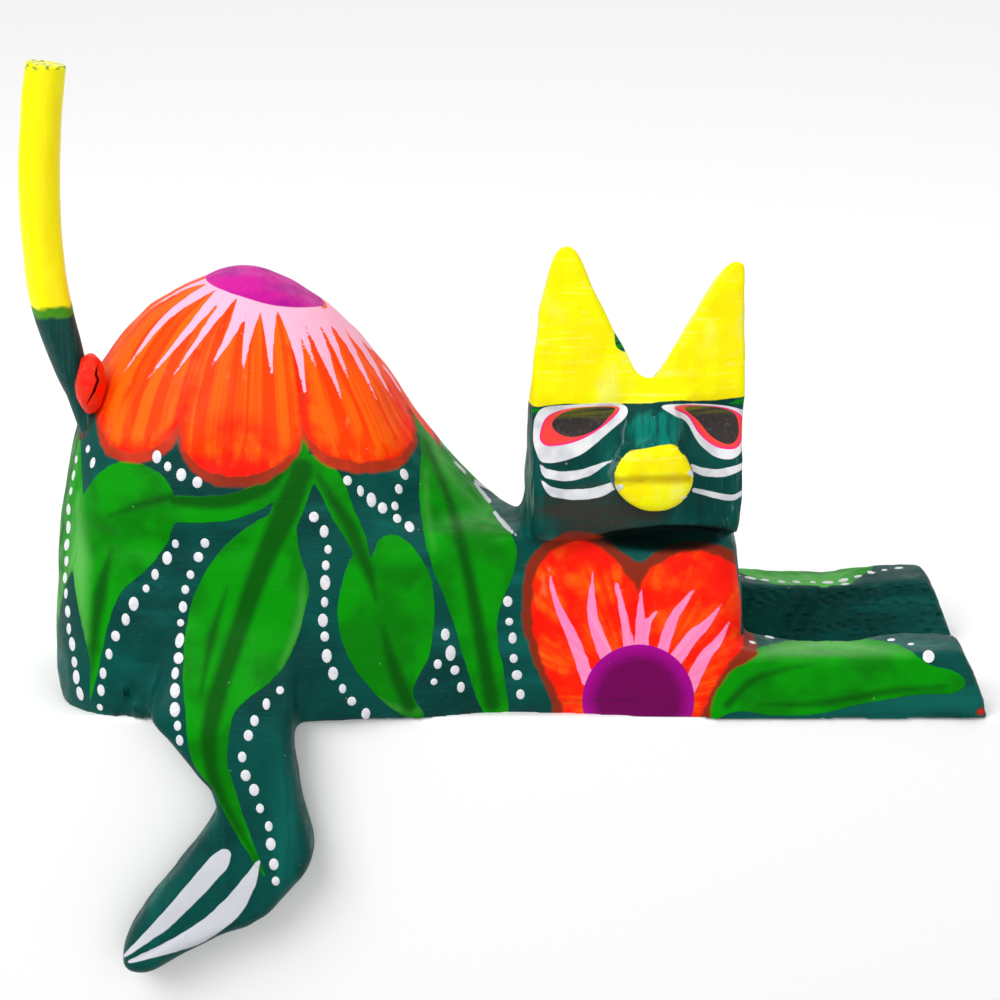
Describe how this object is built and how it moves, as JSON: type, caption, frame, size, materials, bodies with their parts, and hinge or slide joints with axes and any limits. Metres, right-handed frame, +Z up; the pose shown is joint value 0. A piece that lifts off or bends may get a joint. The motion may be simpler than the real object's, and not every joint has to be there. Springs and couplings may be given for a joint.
{
  "type": "alebrije shelf figure",
  "caption": "Painted wooden cat that lies on a shelf's edge with one leg hanging over it and a twig tail plugged into its rump.",
  "frame": {"origin": "on the flat underside of the torso, in the plane of the shelf", "axes": "+Z up, +X along the body to the front paws, -Y towards the side that the face looks to"},
  "size_m": [0.1861, 0.0708, 0.175],
  "materials": {
    "body_paint": "acrylic paint on carved wood",
    "head_paint": "acrylic paint on carved wood",
    "leg_paint": "acrylic paint on carved wood",
    "tail_paint": "acrylic paint on a whittled twig",
    "filler_paint": "acrylic paint on wood paste",
    "seam_paste": "painted sawdust and glue paste",
    "peg_wood": "bare whittled wood"
  },
  "bodies": {
    "figure": {"torso": "body_paint", "head": "head_paint", "hanging_leg": "leg_paint", "neck_filler": "seam_paste", "leg_filler": "seam_paste", "neck_peg": "peg_wood", "leg_pegs": "peg_wood"},
    "tail": {"tail": "tail_paint", "tail_filler": "filler_paint"}
  },
  "joints": [
    {"name": "tail_pull", "type": "slide", "parent": "figure", "child": "tail", "axis": [-0.2924, 0, 0.9563], "range_m": [0, 0.02]}
  ]
}
